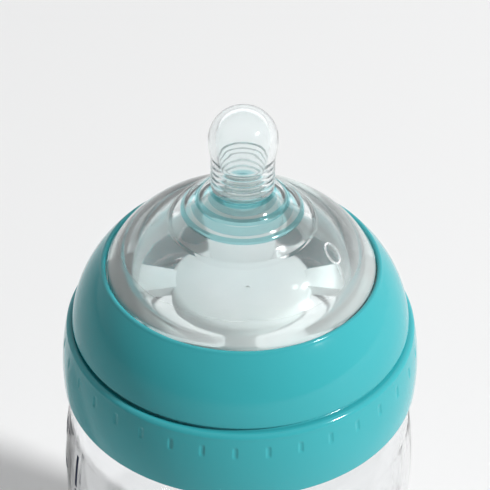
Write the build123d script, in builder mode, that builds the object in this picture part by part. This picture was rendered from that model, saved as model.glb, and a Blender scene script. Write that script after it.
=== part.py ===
from build123d import *
from math import cos, radians, sin, sqrt
import os

# A wide-neck baby bottle standing on its base, in millimetres.  Z = 0 is the plane it stands on,
# and the Z axis is the axis of the bottle.

# ---------------------------------------------------------------- driving dimensions
total_height = 150.0          # from the base to the tip of the teat
opening_z = 117.4             # plane of the screw ring's upper opening
part_gap = 0.1                # clearance between faces that press together when the ring is tight

# bottle
body_r = 35.0                 # widest radius of the body
waist_r = 34.1                # radius at the slight waist
waist_z = 36.0
widest_z = 66.0
side_r = 34.5                 # radius just above the rounded corner at the base
foot_outer_r = 29.5           # flat ring that the bottle stands on
foot_inner_r = 26.5
push_up = 3.5                 # height of the arched base at its centre
body_wall = 1.6
shoulder_r = 33.8
shoulder_z = 80.4
shoulder_top_r = 30.6
shoulder_top_z = 88.0
neck_base_z = 89.4
neck_r = 28.4
neck_bore_r = 26.0
lip_r = 27.3
lip_height = 1.6              # narrower end of the neck, above the thread

# screw thread shared by the neck and the ring
thread_pitch = 6.0
thread_turns = 1.1
thread_depth = 1.6
thread_root_width = 2.6
thread_crest_width = 1.4
thread_clearance = 0.3        # radial, from crest to root
thread_flank_gap = 0.35       # axial, between the flanks that bear on each other
thread_embed = 0.4            # how far a ridge runs into the wall that carries it
neck_thread_z = 95.6          # centre of the ridge at its lower end

# screw ring
ring_opening_r = 25.0
ring_rim_r = 26.0             # outer edge of the rounded rim round the opening
ring_clamp_depth = 4.0        # depth of the clamping face below the opening
ring_clamp_r = 26.3           # outer radius of the clamping face
ring_cone_depth = 13.2        # where the inner cone meets the bore
ring_bore_r = 30.3
groove_depth_z = 12.4
groove_width = 0.7
groove_r = 31.4
dome_foot_r = 31.75
dome_bulge = 0.85
band_top_r = 32.95
band_top_round = 1.0
band_bottom_r = 34.0
band_bulge = 0.45
ring_height = 27.0
ring_edge = 0.4               # rounding of the ring's lower edge
ring_lead_in = 0.9            # bevel at the mouth of the bore
notch_count = 36
notch_width = 1.2
notch_height = 2.6
notch_depth = 0.3
notch_z = 16.6                # below the opening plane
notch_start = -91.0

# teat
flange_thick = 1.5
flange_top_r = 26.0
flange_bottom_r = 26.6
flange_bore_r = 20.8          # the foot of the teat is a thick ring inside its collar
foot_rise = 0.6               # height of the thick ring over the opening plane
collar_r = 24.7
teat_wall = 1.5
nipple_wall = 1.3
step_creases = [(13.4, 9.4), (10.8, 12.1), (8.0, 14.2), (5.3, 16.1)]    # radius, height over opening
step_bulge = 0.42
dome_rise = 1.45
inner_dome_rise = 1.2
rib_count = 5
rib_pitch = 1.15
rib_r = 5.55
rib_bulge = 0.3
bulb_r = 6.15
bulb_z = 26.6
feed_hole_r = 0.4

# ring-shaped air valve moulded on the dome of the teat
valve_azimuth = -24.5
valve_station = 0.7           # share of the way from the collar to the first step
valve_r = 2.1
valve_bead = 0.4
valve_slit = 0.2

# anti-colic insert below the teat: rim, arms and a hollow domed hub
rim_r = 26.6
rim_bore_r = 22.2
rim_thick = 1.6
arms = [(2.0, 12.0), (90.0, 30.0), (182.0, 12.0)]    # middle and half angle of each
arm_reach = 30.0              # sectors are drawn beyond the rim and cut back to it
arm_thick = 2.2
arm_root_r = 12.7
hub_r = 13.9
hub_bore_r = 12.6
hub_crown_rise = 2.4          # crown of the hub over the top of the rim
hub_crown_r = 12.7            # where the crown turns into the rounded shoulder
hub_crown_drop = 2.5          # from the crown to that place
hub_shoulder_depth = 2.0      # shoulder below the top of the rim
hub_skirt_depth = 4.6
hub_ledge_r = 12.0            # ledge over the valve's disc
hub_wall = 1.2
air_hole_r = 0.4
air_hole_depth = 1.0          # below the top of the rim
air_hole_azimuth = 2.0        # the holes run through the two side arms
gate_place = (1.2, -4.9)      # moulding gate mark beside the crown
gate_r = 0.5
gate_depth = 0.25

# base of the hub, pushed in from below, with the socket for the tube
base_spigot_r = 12.5
base_spigot_bore_r = 10.9
base_flange_thick = 0.8
base_depth = 7.8              # underside of the bowl below the top of the rim
base_floor = 1.4
bowl_taper = 2.4
socket_r = 6.2
socket_bore_r = 4.62
socket_depth = 9.0
seal_thick = 0.8
seal_bore_r = 25.0
seal_r = 26.8

# diaphragm valve in the hub
valve_disc_r = 12.5
valve_disc_thick = 0.8
valve_seat_depth = 3.4        # below the top of the rim
star_r = 3.0
star_depth = 2.0
star_slits = 3
star_slit_width = 0.25

# vent tube
tube_r = 4.6
tube_bore_r = 3.4
tube_end_z = 10.0
tube_notch_width = 2.4         # notches that keep the open end from sealing on the base
tube_notch_height = 3.0

# ---------------------------------------------------------------- derived heights
flange_top_z = opening_z - ring_clamp_depth - part_gap
rim_top_z = flange_top_z - flange_thick
seal_top_z = rim_top_z - rim_thick
lip_z = seal_top_z - seal_thick - part_gap
bowl_underside_z = rim_top_z - base_depth

os.makedirs("parts", exist_ok=True)


def outward(start, end, bulge):
    """Arc from start to end that stands out by bulge, away from the axis."""
    run_r = end[0] - start[0]
    run_z = end[1] - start[1]
    length = sqrt(run_r ** 2 + run_z ** 2)
    side = 1 if run_z > 0 else -1
    middle_r = (start[0] + end[0]) / 2 + side * bulge * run_z / length
    middle_z = (start[1] + end[1]) / 2 - side * bulge * run_r / length
    return ThreePointArc(start, (middle_r, middle_z), end)


def body_half(inset, neck_radius, top_z):
    """Half section of the bottle, moved inwards by inset, up to top_z and closed on the axis."""
    crown = (0, push_up + inset)
    corner_r = side_r - foot_outer_r - inset
    TangentArc(crown, (foot_inner_r, inset), tangent=(1, 0))
    Line((foot_inner_r, inset), (foot_outer_r, inset))
    corner = TangentArc((foot_outer_r, inset), (side_r - inset, inset + corner_r), tangent=(1, 0))
    side_points = (corner @ 1, (waist_r - inset, waist_z), (body_r - inset, widest_z))
    Spline(*side_points, tangents=((0, 1), (0, 1)))
    lower = TangentArc((body_r - inset, widest_z), (shoulder_r - inset, shoulder_z), tangent=(0, 1))
    upper_end = (shoulder_top_r - inset, shoulder_top_z - inset)
    TangentArc(lower @ 1, upper_end, tangent=lower % 1)
    neck_foot = (neck_radius, neck_base_z - inset * 0.6)
    Polyline(upper_end, neck_foot, (neck_radius, top_z), (0, top_z), crown)


def thread_section(inner_r, outer_r):
    """Section of a screw ridge: wide at inner_r's side, narrow at outer_r's, embedded in its wall."""
    reach = outer_r - inner_r
    embed = -thread_embed if reach > 0 else thread_embed
    Polyline(
        (embed, -thread_root_width / 2),
        (0, -thread_root_width / 2),
        (reach, -thread_crest_width / 2),
        (reach, thread_crest_width / 2),
        (0, thread_root_width / 2),
        (embed, thread_root_width / 2),
        close=True,
    )


def ring_at(radius, depth):
    """A point of the ring's section, depth below the opening plane."""
    return (radius, opening_z - depth)


def teat_at(radius, rise):
    """A point of the teat's section, rise above the opening plane."""
    return (radius, opening_z + rise)


def insert_at(radius, depth):
    """A point of the insert's section, depth below the top of its rim."""
    return (radius, rim_top_z - depth)


# ---------------------------------------------------------------- bottle
neck_crest_r = neck_r + thread_depth
thread_rise = thread_pitch * thread_turns

with BuildPart() as neck_thread:
    with BuildLine() as neck_helix:
        Helix(thread_pitch, thread_rise, neck_r, center=(0, 0, neck_thread_z))
    with BuildSketch(Plane(neck_helix.line @ 0, x_dir=(1, 0, 0), z_dir=neck_helix.line % 0)):
        with BuildLine():
            thread_section(neck_r, neck_crest_r)
        make_face()
    sweep(is_frenet=True)

with BuildPart() as bottle_body:
    with BuildSketch(Plane.XZ):
        with BuildLine():
            body_half(0, neck_r, lip_z)
        make_face()
    revolve(axis=Axis.Z)
    with BuildSketch(Plane.XZ):
        with BuildLine():
            body_half(body_wall, neck_bore_r, lip_z + 1)
        make_face()
    revolve(axis=Axis.Z, mode=Mode.SUBTRACT)
    with BuildSketch(Plane.XY.offset(lip_z - lip_height)):
        Circle(neck_r + 1)
        Circle(lip_r, mode=Mode.SUBTRACT)
    extrude(amount=lip_height + 1, mode=Mode.SUBTRACT)
    lip_edges = bottle_body.edges().filter_by(GeomType.CIRCLE).group_by(Axis.Z)[-1]
    fillet(lip_edges, radius=0.4)
    add(neck_thread.part)
bottle_body.part.label = "bottle_body"
export_step(bottle_body.part, "parts/bottle_body.step")

# ---------------------------------------------------------------- screw ring
ring_thread_r = neck_crest_r - thread_depth + thread_clearance
flank_overlap = (thread_crest_width + thread_root_width) / 2
ring_thread_z = neck_thread_z - flank_overlap - thread_flank_gap

with BuildPart() as ring_thread:
    with BuildLine() as ring_helix:
        Helix(thread_pitch, thread_rise, ring_bore_r, center=(0, 0, ring_thread_z))
    with BuildSketch(Plane(ring_helix.line @ 0, x_dir=(1, 0, 0), z_dir=ring_helix.line % 0)):
        with BuildLine():
            thread_section(ring_bore_r, ring_thread_r)
        make_face()
    sweep(is_frenet=True)

with BuildPart() as screw_ring:
    with BuildSketch(Plane.XZ):
        with BuildLine():
            rim_round = ring_rim_r - ring_opening_r
            Line(ring_at(ring_opening_r, ring_clamp_depth), ring_at(ring_opening_r, rim_round / 2))
            ThreePointArc(
                ring_at(ring_opening_r, rim_round / 2),
                ring_at(ring_opening_r + rim_round / 2, 0),
                ring_at(ring_rim_r, rim_round / 3),
            )
            outward(ring_at(ring_rim_r, rim_round / 3), ring_at(dome_foot_r, groove_depth_z), dome_bulge)
            groove_end = groove_depth_z + groove_width
            Polyline(
                ring_at(dome_foot_r, groove_depth_z),
                ring_at(groove_r, groove_depth_z),
                ring_at(groove_r, groove_end),
                ring_at(band_top_r - band_top_round, groove_end),
            )
            shoulder_end = ring_at(band_top_r, groove_end + band_top_round)
            TangentArc(ring_at(band_top_r - band_top_round, groove_end), shoulder_end, tangent=(1, 0))
            outward(shoulder_end, ring_at(band_bottom_r, ring_height - ring_edge), band_bulge)
            TangentArc(
                ring_at(band_bottom_r, ring_height - ring_edge),
                ring_at(band_bottom_r - ring_edge, ring_height),
                tangent=(0, -1),
            )
            Polyline(
                ring_at(band_bottom_r - ring_edge, ring_height),
                ring_at(ring_bore_r + ring_lead_in, ring_height),
                ring_at(ring_bore_r, ring_height - ring_lead_in),
                ring_at(ring_bore_r, ring_cone_depth),
                ring_at(ring_clamp_r, ring_clamp_depth),
                ring_at(ring_opening_r, ring_clamp_depth),
            )
        make_face()
    revolve(axis=Axis.Z)
    notch_share = (notch_z - groove_depth_z) / (ring_height - groove_depth_z)
    band_r_at_notch = band_top_r + (band_bottom_r - band_top_r) * notch_share + band_bulge
    with Locations((0, 0, opening_z - notch_z)):
        with PolarLocations(band_r_at_notch, notch_count, start_angle=notch_start):
            Box(2 * notch_depth, notch_width, notch_height, mode=Mode.SUBTRACT)
    add(ring_thread.part)
screw_ring.part.label = "screw_ring"
export_step(screw_ring.part, "parts/screw_ring.step")

# ---------------------------------------------------------------- teat
bulb_top = total_height - opening_z
rib_start = step_creases[-1][1] + 0.5
rib_end = rib_start + rib_count * rib_pitch
inner_shift_r = teat_wall * 0.67
inner_shift_z = teat_wall * 0.8
nipple_bore_r = bulb_r - nipple_wall
dome_foot = teat_at(collar_r, 0)
first_crease = teat_at(*step_creases[0])
flange_bottom = -(ring_clamp_depth + part_gap + flange_thick)
flange_top = flange_bottom + flange_thick


def step_line(creases, bulge):
    """The rounded steps from the dome up to the foot of the nipple."""
    for lower, upper in zip(creases, creases[1:]):
        outward(lower, upper, bulge)


with BuildPart() as teat_shell:
    with BuildSketch(Plane.XZ):
        with BuildLine():
            Polyline(
                teat_at(flange_bore_r, flange_bottom),
                teat_at(flange_bottom_r, flange_bottom),
                teat_at(flange_top_r, flange_top),
                teat_at(collar_r, flange_top),
                dome_foot,
            )
            outward(dome_foot, first_crease, dome_rise)
            outer_creases = [teat_at(*crease) for crease in step_creases]
            step_line(outer_creases, step_bulge)
            Line(outer_creases[-1], teat_at(rib_r, rib_start))
            for rib in range(rib_count):
                rib_z = rib_start + rib * rib_pitch
                outward(teat_at(rib_r, rib_z), teat_at(rib_r, rib_z + rib_pitch), rib_bulge)
            TangentArc(teat_at(bulb_r, bulb_z), teat_at(rib_r, rib_end), tangent=(0, -1))
            TangentArc(teat_at(bulb_r, bulb_z), teat_at(0, bulb_top), tangent=(0, 1))
            Line(teat_at(0, bulb_top), teat_at(0, bulb_top - nipple_wall))
            TangentArc(
                teat_at(nipple_bore_r, bulb_z), teat_at(0, bulb_top - nipple_wall), tangent=(0, 1)
            )
            inner_creases = []
            for radius, rise in step_creases:
                inner_creases.append(teat_at(radius - inner_shift_r, rise - inner_shift_z))
            neck_inner_r = inner_creases[-1][0]
            TangentArc(teat_at(nipple_bore_r, bulb_z), teat_at(neck_inner_r, rib_end), tangent=(0, -1))
            Line(teat_at(neck_inner_r, rib_end), inner_creases[-1])
            step_line(inner_creases, step_bulge / 2)
            inner_foot = teat_at(flange_bore_r, foot_rise)
            outward(inner_foot, inner_creases[0], inner_dome_rise)
            Line(inner_foot, teat_at(flange_bore_r, flange_bottom))
        make_face()
    revolve(axis=Axis.Z)

dome_arc = outward(dome_foot, first_crease, dome_rise)
valve_point = dome_arc @ valve_station
valve_run = dome_arc % valve_station
valve_angle = radians(valve_azimuth)
valve_plane = Plane(
    origin=(valve_point.X * cos(valve_angle), valve_point.X * sin(valve_angle), valve_point.Y),
    x_dir=(-sin(valve_angle), cos(valve_angle), 0),
    z_dir=(valve_run.Y * cos(valve_angle), valve_run.Y * sin(valve_angle), -valve_run.X),
)

with BuildPart() as teat:
    add(teat_shell.part)
    with Locations(valve_plane):
        Torus(valve_r, valve_bead)
        Box(1.3 * valve_r, valve_slit, 3 * teat_wall, mode=Mode.SUBTRACT)
    with Locations((0, 0, total_height)):
        Cylinder(feed_hole_r, 3 * nipple_wall, mode=Mode.SUBTRACT)
teat.part.label = "teat"
export_step(teat.part, "parts/teat.step")

# ---------------------------------------------------------------- anti-colic insert
air_hole_length = rim_r - hub_ledge_r + 2
gate_share = (gate_place[0] ** 2 + gate_place[1] ** 2) / hub_crown_r ** 2
gate_drop = hub_crown_drop * gate_share + gate_depth


def polar(radius, angle):
    """Point in the plane at a radius and an angle in degrees."""
    return (radius * cos(radians(angle)), radius * sin(radians(angle)))


with BuildPart() as vent_disc:
    with BuildSketch(Plane.XY.offset(rim_top_z - rim_thick)):
        Circle(rim_r)
        Circle(rim_bore_r, mode=Mode.SUBTRACT)
    extrude(amount=rim_thick)
    with BuildSketch(Plane.XY.offset(rim_top_z - arm_thick)):
        for middle, half_angle in arms:
            Polygon(
                (0, 0),
                polar(arm_reach, middle - half_angle),
                polar(arm_reach, middle),
                polar(arm_reach, middle + half_angle),
                align=None,
            )
        Circle(rim_bore_r + 0.5, mode=Mode.INTERSECT)
        Circle(arm_root_r, mode=Mode.SUBTRACT)
    extrude(amount=arm_thick)
    with BuildSketch(Plane.XZ):
        with BuildLine():
            crown = TangentArc(
                insert_at(0, -hub_crown_rise),
                insert_at(hub_crown_r, hub_crown_drop - hub_crown_rise),
                tangent=(1, 0),
            )
            TangentArc(crown @ 1, insert_at(hub_r, hub_shoulder_depth), tangent=crown % 1)
            Polyline(
                insert_at(hub_r, hub_shoulder_depth),
                insert_at(hub_r, hub_skirt_depth),
                insert_at(hub_bore_r, hub_skirt_depth),
                insert_at(hub_bore_r, valve_seat_depth - valve_disc_thick),
                insert_at(hub_ledge_r, valve_seat_depth - valve_disc_thick),
                insert_at(hub_ledge_r, hub_shoulder_depth),
            )
            TangentArc(
                insert_at(0, hub_wall - hub_crown_rise),
                insert_at(hub_ledge_r, hub_shoulder_depth),
                tangent=(1, 0),
            )
            Line(insert_at(0, hub_wall - hub_crown_rise), insert_at(0, -hub_crown_rise))
        make_face()
    revolve(axis=Axis.Z)
    with Locations((0, 0, rim_top_z - air_hole_depth)):
        with PolarLocations((rim_r + hub_ledge_r) / 2, 2, start_angle=air_hole_azimuth):
            Cylinder(air_hole_r, air_hole_length, rotation=(0, 90, 0), mode=Mode.SUBTRACT)
    with Locations((*gate_place, rim_top_z + hub_crown_rise)):
        Cylinder(gate_r, 2 * gate_drop, mode=Mode.SUBTRACT)
vent_disc.part.label = "vent_disc"
export_step(vent_disc.part, "parts/vent_disc.step")

with BuildPart() as hub_base:
    with BuildSketch(Plane.XZ):
        with BuildLine():
            Polyline(
                insert_at(base_spigot_r, valve_seat_depth),
                insert_at(base_spigot_r, hub_skirt_depth),
                insert_at(hub_r, hub_skirt_depth),
                insert_at(hub_r, hub_skirt_depth + base_flange_thick),
                insert_at(hub_r - bowl_taper, base_depth),
                insert_at(socket_r, base_depth),
                insert_at(socket_r, base_depth + socket_depth),
                insert_at(socket_bore_r, base_depth + socket_depth),
                insert_at(socket_bore_r, base_depth),
                insert_at(tube_bore_r, base_depth),
                insert_at(tube_bore_r, base_depth - base_floor),
                insert_at(base_spigot_bore_r - bowl_taper, base_depth - base_floor),
                insert_at(base_spigot_bore_r, hub_skirt_depth),
                insert_at(base_spigot_bore_r, valve_seat_depth),
                close=True,
            )
        make_face()
    revolve(axis=Axis.Z)
hub_base.part.label = "hub_base"
export_step(hub_base.part, "parts/hub_base.step")

with BuildPart() as star_valve:
    valve_bottom = rim_top_z - valve_seat_depth
    with BuildSketch(Plane.XY.offset(valve_bottom)):
        Circle(valve_disc_r)
    extrude(amount=valve_disc_thick)
    with BuildSketch(Plane.XY.offset(valve_bottom)):
        Circle(star_r)
    extrude(amount=-star_depth, taper=12)
    with Locations((0, 0, valve_bottom - star_depth)):
        with PolarLocations(0, star_slits, angular_range=180):
            Box(4 * star_r, star_slit_width, 2 * star_depth - 0.4, mode=Mode.SUBTRACT)
star_valve.part.label = "star_valve"
export_step(star_valve.part, "parts/star_valve.step")

with BuildPart() as vent_tube:
    with BuildSketch(Plane.XY.offset(tube_end_z)):
        Circle(tube_r)
        Circle(tube_bore_r, mode=Mode.SUBTRACT)
    extrude(amount=bowl_underside_z - tube_end_z)
    with Locations((0, 0, tube_end_z)):
        with PolarLocations(0, 2):
            Box(4 * tube_r, tube_notch_width, 2 * tube_notch_height, mode=Mode.SUBTRACT)
vent_tube.part.label = "vent_tube"
export_step(vent_tube.part, "parts/vent_tube.step")

with BuildPart() as seal_ring:
    with BuildSketch(Plane.XY.offset(seal_top_z - seal_thick)):
        Circle(seal_r)
        Circle(seal_bore_r, mode=Mode.SUBTRACT)
    extrude(amount=seal_thick)
    outer_edges = seal_ring.edges().filter_by(GeomType.CIRCLE)
    fillet(outer_edges, radius=0.2)
seal_ring.part.label = "seal_ring"
export_step(seal_ring.part, "parts/seal_ring.step")
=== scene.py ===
from math import asin, atan2, cos, pi, radians, sin, tan

import bpy
from mathutils import Matrix, Vector


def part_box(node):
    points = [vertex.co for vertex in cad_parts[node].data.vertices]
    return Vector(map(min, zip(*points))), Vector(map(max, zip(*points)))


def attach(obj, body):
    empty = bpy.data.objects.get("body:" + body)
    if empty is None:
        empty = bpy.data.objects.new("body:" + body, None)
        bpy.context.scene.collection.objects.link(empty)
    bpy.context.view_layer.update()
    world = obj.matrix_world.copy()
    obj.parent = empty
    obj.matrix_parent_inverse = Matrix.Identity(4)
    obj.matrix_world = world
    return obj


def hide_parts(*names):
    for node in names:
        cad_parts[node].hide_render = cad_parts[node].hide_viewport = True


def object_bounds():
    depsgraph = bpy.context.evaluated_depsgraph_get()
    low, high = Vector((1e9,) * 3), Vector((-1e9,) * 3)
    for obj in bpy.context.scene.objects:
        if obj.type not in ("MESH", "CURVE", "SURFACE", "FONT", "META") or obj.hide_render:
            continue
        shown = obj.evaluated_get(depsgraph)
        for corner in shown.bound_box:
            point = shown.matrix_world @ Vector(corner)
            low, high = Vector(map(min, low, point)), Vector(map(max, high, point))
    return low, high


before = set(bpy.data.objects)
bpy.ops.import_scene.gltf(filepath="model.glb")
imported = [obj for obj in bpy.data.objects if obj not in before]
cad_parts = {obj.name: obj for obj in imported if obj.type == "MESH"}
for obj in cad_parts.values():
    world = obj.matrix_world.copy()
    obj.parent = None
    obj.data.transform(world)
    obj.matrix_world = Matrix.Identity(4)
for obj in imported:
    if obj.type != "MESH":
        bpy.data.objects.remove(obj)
cad_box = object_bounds()

# Sections are drawn in millimetres as (radius, height) and become metres in the meshes.
MM = 0.001

# ------------------------------------------------------------------ heights from the frame
opening_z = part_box("screw_ring")[1].z / MM
ring_bottom_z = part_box("screw_ring")[0].z / MM
flange_bottom_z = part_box("teat")[0].z / MM
teat_top_z = cad_box[1][2] / MM
lip_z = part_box("bottle_body")[1].z / MM

# ------------------------------------------------------------------ sections
same_spot = 1e-4                      # points nearer than this are one point
same_radius = 0.01                    # a radius this near another belongs to the same wall
almost_straight = 1e-5                # an arc that stands out less is drawn straight

body_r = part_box("bottle_body")[1].x / MM
waist = (34.1, 36.0, 0.0134)          # radius, height and slope of the side at the waist
widest_z = 66.0
side_r = 34.5
foot_outer_r = 29.5
foot_inner_r = 26.5
push_up = 3.5
body_wall = 1.6
shoulder = (33.8, 80.4)
shoulder_top = (30.6, 88.0)
neck_base_z = 89.4
neck_r = 28.4
neck_bore_r = 26.0
lip_r = 27.3
lip_height = 1.6
lip_round = 0.4
neck_foot_share = 0.6                 # of the wall, how far the inner foot of the neck drops

thread_pitch = 6.0
thread_turns = 1.1
thread_depth = 1.6
thread_crest = 1.4
thread_root = 2.6
thread_fade = 0.02                    # of a turn, the fade at each end of the ridge
neck_thread_z = 95.6
ring_thread_drop = 2.35
ring_bore_r = 30.3
bore_chamfer = 0.9

ring_opening_r = 25.0
ring_rim_r = 26.0
clamp_depth = 4.0
clamp_r = 26.3
cone_depth = 13.2
groove_depth = 12.3
groove_width = 0.8
groove_r = 31.4
dome_foot_r = 31.75
dome_bulge = 0.97
band_top_r = 32.95
band_top_round = 1.0
band_bottom_r = 34.0
band_bulge = 0.45
edge_round = 0.4
groove_soft = 0.22
groove_bend = 0.1
notch_count = 36
notch_start = radians(-91.0)
notch_depth = 0.14
notch_half_angle = radians(1.0)
notch_middle = 16.6
notch_half_height = 1.3
notch_side_share = 0.8                # of the half angle, the sloping side of a notch
notch_end_round = 0.6

collar_r = 24.7
teat_wall = 1.5
nipple_wall = 1.3
creases = [(13.4, 9.4), (10.8, 12.1), (8.0, 14.2), (5.3, 16.1)]
inner_crease_in = 0.67                # of the wall, from an outer crease to the inner one
inner_crease_down = 0.8
step_bulge = 0.42
arc_lift = 0.25                       # painted arcs of the ring's teal, refracted through the steps, over the creases
arc_half_height = 0.4
dome_rise = 1.45
inner_dome_rise = 1.2
foot_rise = 0.6
foot_round = 1.6
foot_shoulder = (0.35, 0.4)           # in from the foot's bore and up from its rise
rib_count = 5
rib_lift = 0.5
rib_pitch = 1.15
rib_r = 5.55
rib_bulge = 0.17
bulb_r = 6.15
bulb_rise = 26.6
flange_top_r = 26.0
flange_bottom_r = 26.6
flange_thick = 1.5
flange_bore_r = 20.8
valve_azimuth = radians(-24.5)
valve_station = 0.7
valve_r = 2.1
valve_half_width = 1.3
valve_lean = radians(35.0)
valve_bead_r = 0.22
valve_stem = 2.6
valve_stem_sink = 0.1                 # into the dome at each point of the stem
valve_loop_points = 48
valve_stem_points = 5
bead_sides = 10


# ------------------------------------------------------------------ curves
def bow(start, end, sag, count=12):
    """Points on a circular arc from start to end that stands sag to the left of the straight line."""
    start = Vector(start)
    end = Vector(end)
    run = end - start
    chord = run.length
    along = run / chord
    left = Vector((-along.y, along.x))
    if abs(sag) < almost_straight:
        return [start.lerp(end, step / count) for step in range(count + 1)]
    radius = (chord * chord / 4 + sag * sag) / (2 * sag)
    centre = (start + end) / 2 + left * (sag - radius)
    half = asin(min(1.0, chord / (2 * abs(radius))))
    points = []
    for step in range(count + 1):
        turn = half * (2 * step / count - 1)
        points.append(centre + left * radius * cos(turn) + along * abs(radius) * sin(turn))
    return points


def outward(start, end, bulge, count=12):
    """An arc that stands out by bulge, away from the axis."""
    rising = end[1] > start[1]
    return bow(start, end, -bulge if rising else bulge, count)


def leaving(start, end, tangent, count=12):
    """An arc that leaves start along tangent and ends at end."""
    run = Vector(end) - Vector(start)
    cross = tangent[0] * run.y - tangent[1] * run.x
    dot = tangent[0] * run.x + tangent[1] * run.y
    return bow(start, end, -run.length / 2 * tan(atan2(cross, dot) / 2), count)


def straight(*corners, step=1.0):
    """Points along straight runs, no further apart than step."""
    points = []
    for start, end in zip(corners, corners[1:]):
        start = Vector(start)
        end = Vector(end)
        count = max(1, round((end - start).length / step))
        points += [start.lerp(end, share / count) for share in range(count)]
    points.append(Vector(corners[-1]))
    return points


def section(*stretches):
    """One closed outline from stretches laid end to end, without doubled points."""
    outline = []
    for stretch in stretches:
        for point in stretch:
            if not outline or (point - outline[-1]).length > same_spot:
                outline.append(point.copy())
    if (outline[0] - outline[-1]).length < same_spot:
        outline.pop()
    area = 0.0
    for here, there in zip(outline, outline[1:] + outline[:1]):
        area += here.x * there.y - there.x * here.y
    if area < 0:
        outline.reverse()
    return outline


# ------------------------------------------------------------------ meshes
def make_piece(name, points, faces, material, crease_angle=40.0):
    """A smooth-shaded mesh object from points in millimetres."""
    mesh = bpy.data.meshes.new(name)
    mesh.from_pydata([(x * MM, y * MM, z * MM) for x, y, z in points], [], faces)
    mesh.polygons.foreach_set("use_smooth", [True] * len(faces))
    mesh.set_sharp_from_angle(angle=radians(crease_angle))
    mesh.materials.append(material)
    piece = bpy.data.objects.new(name, mesh)
    bpy.context.scene.collection.objects.link(piece)
    return piece


def lathe(name, outline, material, angles=256, shape=None, crease_angle=40.0):
    """Turns a closed outline about the Z axis; shape(radius, height, angle) may change a radius."""
    if isinstance(angles, int):
        angles = [2 * pi * step / angles for step in range(angles)]
    points = []
    rows = []
    for spot in outline:
        if spot.x < same_spot:
            rows.append([len(points)] * len(angles))
            points.append((0.0, 0.0, spot.y))
            continue
        row = []
        for angle in angles:
            radius = shape(spot.x, spot.y, angle) if shape else spot.x
            row.append(len(points))
            points.append((radius * cos(angle), radius * sin(angle), spot.y))
        rows.append(row)
    faces = []
    count = len(angles)
    for lower, upper in zip(rows, rows[1:] + rows[:1]):
        for here in range(count):
            there = (here + 1) % count
            corners = (lower[here], lower[there], upper[there], upper[here])
            face = tuple(dict.fromkeys(corners))
            if len(face) > 2:
                faces.append(face)
    return make_piece(name, points, faces, material, crease_angle)


def ridge_height(height, angle, start_z):
    """How far a screw ridge stands out at a height and angle, from 0 to 1."""
    best = 0.0
    for turn in (0, 1):
        travelled = (angle % (2 * pi)) / (2 * pi) + turn
        if travelled > thread_turns:
            continue
        end_fade = min(1.0, min(travelled, thread_turns - travelled) / thread_fade)
        offset = abs(height - start_z - thread_pitch * travelled)
        flank = (thread_root - thread_crest) / 2
        rise = (thread_root / 2 - offset) / flank
        best = max(best, min(1.0, max(0.0, rise)) * end_fade)
    return best


# ------------------------------------------------------------------ materials
noise_low = 0.3                       # the noise seldom leaves this range
noise_high = 0.7
silicone_ior = 1.41
plastic_ior = 1.49
foot_shadow = (0.92, 0.97, 0.965)     # what the teat's thick foot leaves of a lamp's light
wall_shadow = (0.18, 0.18, 0.18)      # and its walls
wall_clearness = 0.36                 # how much clearer the walls are than the foot
# painted refraction: the ring's teal as the teat's steps bend it, laid in arcs on the silicone
painted_refraction_tint = (0.22, 0.62, 0.66)


def new_material(name):
    material = bpy.data.materials.new(name)
    material.use_nodes = True
    nodes = material.node_tree.nodes
    return material, nodes, material.node_tree.links, nodes["Principled BSDF"]


def noise(nodes, links, scale, detail=3.0, stretch=(1, 1, 1)):
    """Noise in object space; scale is in cells per metre."""
    coords = nodes.new("ShaderNodeTexCoord")
    mapping = nodes.new("ShaderNodeMapping")
    mapping.inputs["Scale"].default_value = stretch
    texture = nodes.new("ShaderNodeTexNoise")
    texture.inputs["Scale"].default_value = scale
    texture.inputs["Detail"].default_value = detail
    links.new(coords.outputs["Object"], mapping.inputs["Vector"])
    links.new(mapping.outputs["Vector"], texture.inputs["Vector"])
    return texture.outputs["Fac"]


def spread(nodes, links, value, low, high):
    """Maps the usual range of a noise on to low to high."""
    ranged = nodes.new("ShaderNodeMapRange")
    ranged.inputs["From Min"].default_value = noise_low
    ranged.inputs["From Max"].default_value = noise_high
    ranged.inputs["To Min"].default_value = low
    ranged.inputs["To Max"].default_value = high
    links.new(value, ranged.inputs["Value"])
    return ranged.outputs["Result"]


def bump(nodes, links, value, shader, distance, strength=1.0):
    node = nodes.new("ShaderNodeBump")
    node.inputs["Strength"].default_value = strength
    node.inputs["Distance"].default_value = distance
    links.new(value, node.inputs["Height"])
    links.new(node.outputs["Normal"], shader.inputs["Normal"])


def object_height(nodes, links):
    coords = nodes.new("ShaderNodeTexCoord")
    split = nodes.new("ShaderNodeSeparateXYZ")
    links.new(coords.outputs["Object"], split.inputs["Vector"])
    return split.outputs["Z"]


def maths(nodes, links, operation, first, second):
    """One maths node on two values, either of which may be a number."""
    node = nodes.new("ShaderNodeMath")
    node.operation = operation
    for socket, value in zip(node.inputs, (first, second)):
        if isinstance(value, (int, float)):
            socket.default_value = value
        else:
            links.new(value, socket)
    return node


def mix_colours(nodes, links, share, first, second):
    """first where share is 0 and second where it is 1; both may be sockets or colours."""
    mix = nodes.new("ShaderNodeMix")
    mix.data_type = "RGBA"
    links.new(share, mix.inputs["Factor"])
    for socket, colour in ((mix.inputs["A"], first), (mix.inputs["B"], second)):
        if isinstance(colour, tuple):
            socket.default_value = (*colour, 1)
        else:
            links.new(colour, socket)
    return mix.outputs["Result"]


def above_foot(nodes, links, low, high):
    """0 in the teat's thick foot up to low over the opening, 1 in the thin walls above high."""
    height = nodes.new("ShaderNodeMapRange")
    height.interpolation_type = "SMOOTHSTEP"
    height.inputs["From Min"].default_value = (opening_z + low) * MM
    height.inputs["From Max"].default_value = (opening_z + high) * MM
    links.new(object_height(nodes, links), height.inputs["Value"])
    return height.outputs["Result"]


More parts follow.
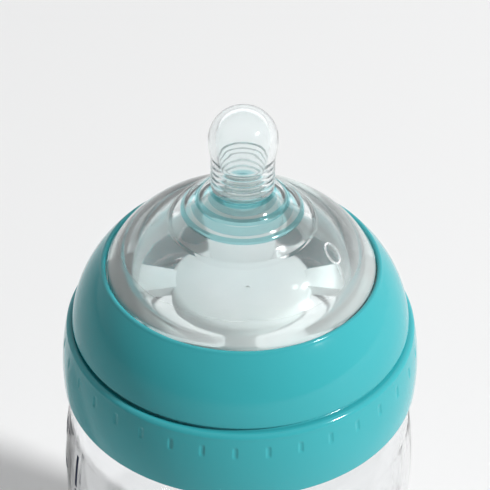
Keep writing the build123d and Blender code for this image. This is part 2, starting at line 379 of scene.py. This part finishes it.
def painted_refraction_arcs(nodes, links):
    """1 in thin arcs at the foot of the teat's upper steps, where the ring's teal seen through them is
    painted, 0 elsewhere.
    """
    height = object_height(nodes, links)
    arcs = 0.0
    for crease in creases[1:]:
        middle = (opening_z + crease[1] + arc_lift) * MM
        arc = maths(nodes, links, "COMPARE", height, middle)
        arc.inputs[2].default_value = arc_half_height * MM
        arcs = maths(nodes, links, "MAXIMUM", arcs, arc.outputs["Value"]).outputs["Value"]
    return arcs


def let_lamps_through(nodes, links, shader, share):
    """Lamps shine straight down through the thick foot of the teat, and barely through its walls."""
    path = nodes.new("ShaderNodeLightPath")
    clear = nodes.new("ShaderNodeBsdfTransparent")
    mix = nodes.new("ShaderNodeMixShader")
    links.new(mix_colours(nodes, links, share, foot_shadow, wall_shadow), clear.inputs["Color"])
    links.new(path.outputs["Is Shadow Ray"], mix.inputs["Fac"])
    links.new(shader.outputs["BSDF"], mix.inputs[1])
    links.new(clear.outputs["BSDF"], mix.inputs[2])
    links.new(mix.outputs["Shader"], nodes["Material Output"].inputs["Surface"])


def clear_silicone():
    """Milky in the foot, with painted teal of the ring showing through it, and clear in the walls, with
    painted arcs of the ring's refracted teal at the steps. Light leaves it freely.
    """
    material, nodes, links, shader = new_material("clear_silicone")
    shader.inputs["IOR"].default_value = silicone_ior
    haze = noise(nodes, links, 120)
    let_lamps_through(nodes, links, shader, above_foot(nodes, links, 0.3, 3.0))
    share = above_foot(nodes, links, 0.0, 9.0)
    clearness = maths(nodes, links, "MULTIPLY_ADD", share, wall_clearness)
    links.new(spread(nodes, links, haze, 0.57, 0.61), clearness.inputs[2])
    face = nodes.new("ShaderNodeNewGeometry")
    outgoing = maths(nodes, links, "MAXIMUM", face.outputs["Backfacing"], clearness.outputs["Value"])
    links.new(outgoing.outputs["Value"], shader.inputs["Transmission Weight"])
    links.new(spread(nodes, links, haze, 0.05, 0.11), shader.inputs["Roughness"])
    # the foot's teal is painted: the ring's colour as seen through the thick silicone, mixed at random
    # with the silicone's own pale tone
    foot_tint_with_painted_teal = mix_colours(nodes, links, haze, (0.80, 0.955, 0.95), (0.985, 0.99, 0.97))
    wall_tint = mix_colours(nodes, links, haze, (0.92, 0.99, 0.99), (0.985, 0.995, 0.995))
    tint = mix_colours(nodes, links, share, foot_tint_with_painted_teal, wall_tint)
    # painted refraction: teal arcs of the ring seen through the steps
    tint = mix_colours(nodes, links, painted_refraction_arcs(nodes, links), tint, painted_refraction_tint)
    links.new(tint, shader.inputs["Base Color"])
    bump(nodes, links, noise(nodes, links, 260, 2), shader, 0.00004, 0.5)
    return material


def clear_plastic():
    material, nodes, links, shader = new_material("clear_plastic")
    shader.inputs["Transmission Weight"].default_value = 1.0
    shader.inputs["IOR"].default_value = plastic_ior
    flow = noise(nodes, links, 70, 3, (1, 1, 0.6))
    links.new(spread(nodes, links, flow, 0.02, 0.06), shader.inputs["Roughness"])
    tint = mix_colours(nodes, links, flow, (0.97, 0.98, 0.985), (0.99, 0.995, 1.0))
    links.new(tint, shader.inputs["Base Color"])
    bump(nodes, links, flow, shader, 0.0003, 0.8)
    return material


def teal_plastic():
    material, nodes, links, shader = new_material("teal_plastic")
    cloud = noise(nodes, links, 35)
    fine = noise(nodes, links, 1400, 4)
    colour = mix_colours(nodes, links, cloud, (0.037, 0.365, 0.40), (0.044, 0.395, 0.435))
    links.new(colour, shader.inputs["Base Color"])
    links.new(spread(nodes, links, fine, 0.08, 0.14), shader.inputs["Roughness"])
    shader.inputs["Specular IOR Level"].default_value = 0.27
    shader.inputs["IOR"].default_value = plastic_ior
    bump(nodes, links, noise(nodes, links, 90, 2), shader, 0.00006, 0.5)
    return material


def white_plastic():
    material, nodes, links, shader = new_material("white_plastic")
    cloud = noise(nodes, links, 60)
    colour = mix_colours(nodes, links, cloud, (0.72, 0.72, 0.72), (0.77, 0.765, 0.76))
    links.new(colour, shader.inputs["Base Color"])
    links.new(spread(nodes, links, cloud, 0.42, 0.55), shader.inputs["Roughness"])
    shader.inputs["Subsurface Weight"].default_value = 0.15
    shader.inputs["Subsurface Radius"].default_value = (0.003, 0.003, 0.003)
    shader.inputs["Subsurface Scale"].default_value = 0.4
    bump(nodes, links, noise(nodes, links, 700, 3), shader, 0.00003, 0.6)
    return material


def white_silicone():
    material, nodes, links, shader = new_material("white_silicone")
    cloud = noise(nodes, links, 140)
    colour = mix_colours(nodes, links, cloud, (0.80, 0.82, 0.82), (0.87, 0.88, 0.88))
    links.new(colour, shader.inputs["Base Color"])
    links.new(spread(nodes, links, cloud, 0.4, 0.55), shader.inputs["Roughness"])
    shader.inputs["Transmission Weight"].default_value = 0.3
    shader.inputs["IOR"].default_value = silicone_ior
    bump(nodes, links, noise(nodes, links, 900, 3), shader, 0.00002, 0.6)
    return material


def navy_ink():
    material, nodes, links, shader = new_material("navy_ink")
    wear = noise(nodes, links, 900, 3)
    colour = mix_colours(nodes, links, wear, (0.010, 0.018, 0.045), (0.020, 0.030, 0.070))
    links.new(colour, shader.inputs["Base Color"])
    links.new(spread(nodes, links, wear, 0.7, 0.9), shader.inputs["Roughness"])
    shader.inputs["Specular IOR Level"].default_value = 0.1
    return material


def floor_paint():
    material, nodes, links, shader = new_material("floor_paint")
    cloud = noise(nodes, links, 3)
    colour = mix_colours(nodes, links, cloud, (0.875, 0.875, 0.875), (0.885, 0.885, 0.885))
    links.new(colour, shader.inputs["Base Color"])
    shader.inputs["Roughness"].default_value = 0.6
    return material


silicone = clear_silicone()
bottle_plastic = clear_plastic()
ring_plastic = teal_plastic()
insert_plastic = white_plastic()
soft_white = white_silicone()
scale_ink = navy_ink()


# ------------------------------------------------------------------ bottle
side_steps = 16
side_foot_z = 5.0
shoulder_steps = 14


def side_points(inset):
    """The bottle's slightly waisted side, from the base corner up to the widest height."""
    knots = [(side_r, side_foot_z, 0.0), waist, (body_r, widest_z, 0.0)]
    points = []
    for (r0, z0, slope0), (r1, z1, slope1) in zip(knots, knots[1:]):
        span = z1 - z0
        for step in range(side_steps):
            t = step / side_steps
            start_part = r0 * (2 * t**3 - 3 * t**2 + 1) + slope0 * span * (t**3 - 2 * t**2 + t)
            end_part = r1 * (3 * t**2 - 2 * t**3) + slope1 * span * (t**3 - t**2)
            points.append(Vector((start_part + end_part - inset, z0 + span * t)))
    points.append(Vector((body_r - inset, widest_z)))
    return points


def wall_points(inset, neck_radius):
    """One face of the bottle's wall, from the axis at the base up to the foot of the neck."""
    corner_r = side_r - foot_outer_r - inset
    shoulder_low = (body_r - inset, widest_z)
    shoulder_mid = (shoulder[0] - inset, shoulder[1])
    shoulder_high = (shoulder_top[0] - inset, shoulder_top[1] - inset)
    lower = leaving(shoulder_low, shoulder_mid, (0, 1), shoulder_steps)
    heading = (lower[-1] - lower[-2]).normalized()
    points = leaving((0, push_up + inset), (foot_inner_r, inset), (1, 0), 16)
    points += straight((foot_inner_r, inset), (foot_outer_r, inset))
    points += leaving((foot_outer_r, inset), (side_r - inset, inset + corner_r), (1, 0), 12)
    points += side_points(inset)
    points += lower
    points += leaving(shoulder_mid, shoulder_high, heading, 12)
    neck_foot = (neck_radius, neck_base_z - inset * neck_foot_share)
    points += straight(shoulder_high, neck_foot, step=0.5)
    return points


def neck_with_thread(radius, height, angle):
    if radius < neck_r - same_radius or height < neck_base_z:
        return radius
    return radius + thread_depth * ridge_height(height, angle, neck_thread_z)


lip_low = lip_z - lip_height
lip_side_z = lip_z - lip_round
bottle_outline = section(
    wall_points(0.0, neck_r),
    straight((neck_r, neck_base_z), (neck_r, lip_low), step=0.3),
    straight((neck_r, lip_low), (lip_r, lip_low), step=0.4),
    straight((lip_r, lip_low), (lip_r, lip_side_z), step=0.4),
    leaving((lip_r, lip_side_z), (lip_r - lip_round, lip_z), (0, 1), 5),
    leaving((neck_bore_r + lip_round, lip_z), (neck_bore_r, lip_side_z), (-1, 0), 5),
    straight(
        (neck_bore_r, lip_side_z),
        (neck_bore_r, neck_base_z - body_wall * neck_foot_share),
        step=2,
    ),
    reversed(wall_points(body_wall, neck_bore_r)),
)
bottle_shell = lathe("bottle_shell", bottle_outline, bottle_plastic, 256, neck_with_thread)
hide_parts("bottle_body")
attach(bottle_shell, "bottle")


# ------------------------------------------------------------------ printed scale on the bottle
scale_azimuth = radians(204.0)
scale_top_z = 80.0
scale_marks = 8
scale_step = 8.8                      # height of one mark's share of the contents
scale_unit = 30                       # what the numbers rise by
rule_width = 0.95
rule_break = 1.0                      # the gap in the rule under each mark's share
tick_length = 2.5
tick_gap = 6.0                        # between the rule and the ticks
digit_size = (1.9, 3.4)
digit_gap = 1.0
ink_stroke = 0.45
ink_thick = 0.03
# the strokes of each digit: top, upper right, lower right, foot, lower left, upper left, middle
DIGITS = {
    "0": "1111110",
    "1": "0110000",
    "2": "1101101",
    "3": "1111001",
    "4": "0110011",
    "5": "1011011",
    "6": "1011111",
    "7": "1110000",
    "8": "1111111",
    "9": "1111011",
}


def side_radius(height):
    """Outer radius of the bottle's side at a height."""
    side = side_points(0.0) + leaving((body_r, widest_z), shoulder, (0, 1), shoulder_steps)
    for low, high in zip(side, side[1:]):
        if low.y <= height <= high.y:
            return low.x + (high.x - low.x) * (height - low.y) / (high.y - low.y)
    return body_r


def ink_boxes():
    """Strokes as (left, low, width, height), left measured round the side from the rule."""
    boxes = []
    wide, tall = digit_size
    for mark in range(scale_marks):
        top = scale_top_z - mark * scale_step
        boxes.append((0, top - scale_step + rule_break, rule_width, scale_step - rule_break))
        tick_left = -tick_gap - tick_length
        boxes.append((tick_left, top - ink_stroke, tick_length, ink_stroke))
        figures = str(scale_unit * (scale_marks - mark))
        left = tick_left - len(figures) * (wide + digit_gap)
        foot = top - tall
        for figure in figures:
            strokes = (
                (0, tall - ink_stroke, wide, ink_stroke),
                (wide - ink_stroke, tall / 2, ink_stroke, tall / 2),
                (wide - ink_stroke, 0, ink_stroke, tall / 2),
                (0, 0, wide, ink_stroke),
                (0, 0, ink_stroke, tall / 2),
                (0, tall / 2, ink_stroke, tall / 2),
                (0, (tall - ink_stroke) / 2, wide, ink_stroke),
            )
            for shown, (x, z, w, h) in zip(DIGITS[figure], strokes):
                if shown == "1":
                    boxes.append((left + x, foot + z, w, h))
            left += wide + digit_gap
    return boxes


def printed_scale():
    """The scale as thin closed patches that follow the side."""
    points = []
    faces = []
    for left, low, wide, tall in ink_boxes():
        columns = max(1, round(wide))
        levels = max(1, round(tall))
        row = columns + 1
        sheet = row * (levels + 1)
        start = len(points)
        for lift in (ink_thick, -ink_thick):
            for level in range(levels + 1):
                height = low + tall * level / levels
                radius = side_radius(height) + lift
                for column in range(row):
                    angle = scale_azimuth + (left + wide * column / columns) / body_r
                    points.append((radius * cos(angle), radius * sin(angle), height))
        for level in range(levels):
            for column in range(columns):
                corner = start + level * row + column
                patch = (corner, corner + 1, corner + row + 1, corner + row)
                faces.append(patch)
                faces.append(tuple(sheet + spot for spot in reversed(patch)))
        rim = list(range(row)) + [level * row + columns for level in range(1, levels + 1)]
        rim += [levels * row + column for column in range(columns - 1, -1, -1)]
        rim += [level * row for level in range(levels - 1, 0, -1)]
        for here, there in zip(rim, rim[1:] + rim[:1]):
            faces.append((start + there, start + here, start + sheet + here, start + sheet + there))
    return make_piece("printed_scale", points, faces, scale_ink)


scale_print = printed_scale()
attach(scale_print, "bottle")


# ------------------------------------------------------------------ screw ring
def at_depth(radius, depth):
    return (radius, opening_z - depth)


def smooth_share(value):
    value = min(1.0, max(0.0, value))
    return value * value * (3 - 2 * value)


def ring_shape(radius, height, angle):
    """Shallow notches round the band and the screw ridge in the bore."""
    depth = opening_z - height
    if abs(radius - ring_bore_r) < same_radius:
        start_z = neck_thread_z - ring_thread_drop
        return radius - thread_depth * ridge_height(height, angle, start_z)
    if radius > band_top_r - same_radius and abs(depth - notch_middle) < notch_half_height:
        step = 2 * pi / notch_count
        off = abs((angle - notch_start + step / 2) % step - step / 2)
        across = smooth_share((notch_half_angle - off) / (notch_half_angle * notch_side_share))
        along = smooth_share((notch_half_height - abs(depth - notch_middle)) / notch_end_round)
        return radius - notch_depth * across * along
    return radius


def ring_angles():
    """Angles bunched round each notch."""
    step = 2 * pi / notch_count
    offsets = [0.0]
    for share in (0.3, 0.55, 0.7, 0.85, 1.0, 1.3, 2.0, 3.2):
        offsets += [share * notch_half_angle, -share * notch_half_angle]
    offsets.append(step / 2)
    angles = []
    for notch in range(notch_count):
        angles += [notch_start + notch * step + offset for offset in offsets]
    return sorted(angle % (2 * pi) for angle in angles)


rim_round = ring_rim_r - ring_opening_r
rim_low = at_depth(ring_opening_r, rim_round / 2)
rim_top = at_depth(ring_opening_r + rim_round / 2, 0)
dome_top = at_depth(ring_rim_r, rim_round / 3)
dome_foot = at_depth(dome_foot_r, groove_depth - groove_soft)
groove_end = groove_depth + groove_width
groove_top = at_depth(dome_foot_r - groove_soft, groove_depth + groove_bend)
groove_foot = at_depth(groove_r + groove_bend, groove_end)
band_shelf = at_depth(band_top_r - band_top_round, groove_end)
band_top = at_depth(band_top_r, groove_end + band_top_round)
band_end = opening_z - ring_bottom_z - edge_round
band_foot = at_depth(band_bottom_r, band_end)
foot_outer = at_depth(band_bottom_r - edge_round, band_end + edge_round)
foot_inner = at_depth(ring_bore_r + bore_chamfer, band_end + edge_round)
bore_low = at_depth(ring_bore_r, band_end + edge_round - bore_chamfer)
bore_top = at_depth(ring_bore_r, cone_depth)
clamp_outer = at_depth(clamp_r, clamp_depth)
clamp_inner = at_depth(ring_opening_r, clamp_depth)
ring_outline = section(
    straight(clamp_inner, rim_low, step=0.6),
    leaving(rim_low, rim_top, (0, 1), 6),
    leaving(rim_top, dome_top, (1, 0), 5),
    outward(dome_top, dome_foot, dome_bulge, 40),
    leaving(dome_foot, groove_top, (0, -1), 6),
    reversed(leaving(groove_foot, groove_top, (-1, 0), 8)),
    straight(groove_foot, band_shelf, step=0.3),
    leaving(band_shelf, band_top, (1, 0), 10),
    outward(band_top, band_foot, band_bulge, 60),
    leaving(band_foot, foot_outer, (0, -1), 6),
    straight(foot_outer, foot_inner, step=0.7),
    straight(foot_inner, bore_low, step=0.4),
    straight(bore_low, bore_top, step=0.3),
    straight(bore_top, clamp_outer, step=1.5),
    straight(clamp_outer, clamp_inner, step=0.6),
)
ring_shell = lathe("ring_shell", ring_outline, ring_plastic, ring_angles(), ring_shape)
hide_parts("screw_ring")
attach(ring_shell, "ring")


# ------------------------------------------------------------------ teat
def at_rise(radius, rise):
    return (radius, opening_z + rise)


def teat_steps(corners, bulge):
    points = []
    for lower, upper in zip(corners, corners[1:]):
        points += outward(lower, upper, bulge, 10)
    return points


outer_creases = [at_rise(*crease) for crease in creases]
inner_creases = [
    at_rise(radius - teat_wall * inner_crease_in, rise - teat_wall * inner_crease_down)
    for radius, rise in creases
]
rib_start = creases[-1][1] + rib_lift
rib_end = rib_start + rib_count * rib_pitch
nipple_bore_r = bulb_r - nipple_wall
neck_inner_r = inner_creases[-1][0]
teat_foot = at_rise(collar_r, 0)
inner_foot = at_rise(flange_bore_r, foot_rise - foot_round)
inner_shoulder = at_rise(flange_bore_r - foot_shoulder[0], foot_rise + foot_shoulder[1])
outer_dome = outward(teat_foot, outer_creases[0], dome_rise, 32)

ribs = []
for rib in range(rib_count):
    rib_z = rib_start + rib * rib_pitch
    ribs += outward(at_rise(rib_r, rib_z), at_rise(rib_r, rib_z + rib_pitch), rib_bulge, 10)

flange_top_z = flange_bottom_z + flange_thick
flange_inner = (flange_bore_r, flange_bottom_z)
flange_outer = (flange_bottom_r, flange_bottom_z)
bulb_side = at_rise(bulb_r, bulb_rise)
bulb_bore_side = at_rise(nipple_bore_r, bulb_rise)
neck_bore_top = at_rise(neck_inner_r, rib_end)
teat_outline = section(
    straight(flange_inner, flange_outer),
    straight(flange_outer, (flange_top_r, flange_top_z), step=0.5),
    straight((flange_top_r, flange_top_z), (collar_r, flange_top_z), step=0.5),
    straight((collar_r, flange_top_z), teat_foot, step=0.5),
    outer_dome,
    teat_steps(outer_creases, step_bulge),
    ribs,
    reversed(leaving(bulb_side, at_rise(rib_r, rib_end), (0, -1), 12)),
    leaving(bulb_side, (0, teat_top_z), (0, 1), 24),
    reversed(leaving(bulb_bore_side, (0, teat_top_z - nipple_wall), (0, 1), 20)),
    leaving(bulb_bore_side, neck_bore_top, (0, -1), 10),
    straight(neck_bore_top, inner_creases[-1]),
    reversed(teat_steps(inner_creases, step_bulge / 2)),
    reversed(outward(inner_shoulder, inner_creases[0], inner_dome_rise, 28)),
    reversed(leaving(inner_foot, inner_shoulder, (0, 1), 8)),
    straight(inner_foot, flange_inner, step=0.6),
)
teat_skin = lathe("teat_skin", teat_outline, silicone, 256, crease_angle=60.0)
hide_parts("teat")
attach(teat_skin, "head")


def bead_round(path, across, thick, closed):
    """Points and faces of a round bead along path; across points out of the curve at each point."""
    points = []
    faces = []
    count = len(path)
    for index, spot in enumerate(path):
        before = path[index - 1] if closed or index else spot
        after = path[(index + 1) % count] if closed or index + 1 < count else spot
        along = (after - before).normalized()
        out = across[index]
        up = along.cross(out)
        for side in range(bead_sides):
            lean = 2 * pi * side / bead_sides
            points.append(spot + (out * cos(lean) + up * sin(lean)) * thick)
    for index in range(count if closed else count - 1):
        here = index * bead_sides
        there = (index + 1) % count * bead_sides
        for side in range(bead_sides):
            beside = (side + 1) % bead_sides
            faces.append((here + side, there + side, there + beside, here + beside))
    if not closed:
        faces.append(tuple(reversed(range(bead_sides))))
        faces.append(tuple(range((count - 1) * bead_sides, count * bead_sides)))
    return points, faces


def air_valve():
    """The air valve on the dome: a narrow oval bead with a short stem."""
    station = round(valve_station * (len(outer_dome) - 1))
    spot = outer_dome[station]
    run = (outer_dome[station + 1] - outer_dome[station - 1]).normalized()
    out = Vector((cos(valve_azimuth), sin(valve_azimuth), 0))
    sideways = Vector((-sin(valve_azimuth), cos(valve_azimuth), 0))
    normal = out * run.y - Vector((0, 0, run.x))
    uphill = normal.cross(sideways)
    along = uphill * cos(valve_lean) + sideways * sin(valve_lean)
    across = sideways * cos(valve_lean) - uphill * sin(valve_lean)
    centre = out * spot.x + Vector((0, 0, spot.y))
    loop = []
    radial = []
    for step in range(valve_loop_points):
        turn = 2 * pi * step / valve_loop_points
        loop.append(centre + across * valve_half_width * cos(turn) + along * valve_r * sin(turn))
        ray = across * valve_r * cos(turn) + along * valve_half_width * sin(turn)
        radial.append(ray.normalized())
    points, faces = bead_round(loop, radial, valve_bead_r, True)
    away = -1 if along.z > 0 else 1
    stem = []
    for step in range(valve_stem_points):
        reach = valve_r + valve_stem * step / (valve_stem_points - 1)
        stem.append(centre + along * away * reach - normal * valve_stem_sink * step)
    stem_points, stem_faces = bead_round(stem, [across] * valve_stem_points, valve_bead_r, False)
    faces += [tuple(len(points) + corner for corner in face) for face in stem_faces]
    return make_piece("air_valve_bead", points + stem_points, faces, silicone)


valve_bead = air_valve()
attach(valve_bead, "head")


# ------------------------------------------------------------------ insert
bevel_segments = 3
bevel_from_angle = radians(40)


def finish_node(name, material, bevel=0.0):
    """Gives a carried-over part its material and softly rounded edges."""
    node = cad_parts[name]
    for slot in node.material_slots:
        slot.material = material
    if bevel:
        edge = node.modifiers.new("soft_edges", "BEVEL")
        edge.width = bevel * MM
        edge.segments = bevel_segments
        edge.limit_method = "ANGLE"
        edge.angle_limit = bevel_from_angle


finish_node("vent_disc", insert_plastic, 0.5)
finish_node("hub_base", insert_plastic, 0.2)
finish_node("vent_tube", insert_plastic, 0.25)
finish_node("star_valve", soft_white, 0.1)
finish_node("seal_ring", soft_white)

# ------------------------------------------------------------------ stage, light and camera
floor_half = 6.0
floor_corners = [(-floor_half, -floor_half), (floor_half, -floor_half)]
floor_corners += [(floor_half, floor_half), (-floor_half, floor_half)]
floor_mesh = bpy.data.meshes.new("floor")
floor_mesh.from_pydata([(x, y, 0) for x, y in floor_corners], [], [(0, 1, 2, 3)])
floor_mesh.materials.append(floor_paint())
floor = bpy.data.objects.new("floor", floor_mesh)
bpy.context.scene.collection.objects.link(floor)


def soft_light(name, azimuth, elevation, distance, width, power, aim=(0, 0, 0.1)):
    """A round softbox that looks at aim from an azimuth (0 is +X, 90 is +Y) and elevation in degrees."""
    data = bpy.data.lights.new(name, "AREA")
    data.shape = "DISK"
    data.size = width
    data.energy = power
    lamp = bpy.data.objects.new(name, data)
    bpy.context.scene.collection.objects.link(lamp)
    side = radians(azimuth)
    height = radians(elevation)
    toward = Vector((cos(side) * cos(height), sin(side) * cos(height), sin(height)))
    lamp.location = Vector(aim) + toward * distance
    lamp.rotation_euler = toward.to_track_quat("Z", "Y").to_euler()
    return lamp


key_light = soft_light("key_light", -24, 38, 4.0, 0.5, 152)
top_light = soft_light("top_light", 0, 76, 4.0, 1.0, 38)
top_light.visible_glossy = False
top_light.visible_transmission = False

world = bpy.data.worlds.new("studio")
bpy.context.scene.world = world
world.use_nodes = True
world_nodes = world.node_tree.nodes
world_links = world.node_tree.links
sky_coords = world_nodes.new("ShaderNodeTexCoord")
sky_dull_end = -0.8                   # where the sky is dullest, measured along its bright side
sky_bright_end = 0.75


def sky(bright_side, low, high):
    """Grey that rises from low to high towards bright_side."""
    toward = world_nodes.new("ShaderNodeVectorMath")
    toward.operation = "DOT_PRODUCT"
    toward.inputs[1].default_value = bright_side
    share = world_nodes.new("ShaderNodeMapRange")
    share.interpolation_type = "SMOOTHSTEP"
    share.inputs["From Min"].default_value = sky_dull_end
    share.inputs["From Max"].default_value = sky_bright_end
    share.inputs["To Min"].default_value = low
    share.inputs["To Max"].default_value = high
    world_links.new(sky_coords.outputs["Generated"], toward.inputs[0])
    world_links.new(toward.outputs["Value"], share.inputs["Value"])
    return share.outputs["Result"]


# The room that shows in gloss and through clear walls is brighter than its light on matt surfaces.
sky_mix = world_nodes.new("ShaderNodeMix")
sky_path = world_nodes.new("ShaderNodeLightPath")
world_links.new(sky_path.outputs["Is Diffuse Ray"], sky_mix.inputs["Factor"])
world_links.new(sky((0.15, 0.8, 0.5), 0.30, 1.1), sky_mix.inputs["A"])
world_links.new(sky((0.45, 0.8, -0.12), 0.02, 0.40), sky_mix.inputs["B"])
world_links.new(sky_mix.outputs["Result"], world_nodes["Background"].inputs["Strength"])
world_nodes["Background"].inputs["Color"].default_value = (0.98, 0.99, 1.0, 1)

camera_front = 0.221235               # metres in front of the axis and over the ring's opening
camera_over = 0.174372
pitch = radians(37.70)
yaw = 0.0027075
roll = 0.0166014
camera_data = bpy.data.cameras.new("camera")
camera_data.sensor_width = 36.0
camera_data.lens = 112.408163
camera = bpy.data.objects.new("camera", camera_data)
bpy.context.scene.collection.objects.link(camera)
forward = Vector((sin(yaw) * cos(pitch), cos(yaw) * cos(pitch), -sin(pitch)))
level_right = Vector((cos(yaw), -sin(yaw), 0))
level_up = level_right.cross(forward)
right = level_right * cos(roll) + level_up * sin(roll)
up = level_up * cos(roll) - level_right * sin(roll)
camera.matrix_world = Matrix(
    (
        (right.x, up.x, -forward.x, 0),
        (right.y, up.y, -forward.y, -camera_front),
        (right.z, up.z, -forward.z, camera_over + opening_z * MM),
        (0, 0, 0, 1),
    )
)
bpy.context.scene.camera = camera
bpy.context.scene.view_settings.view_transform = "Standard"
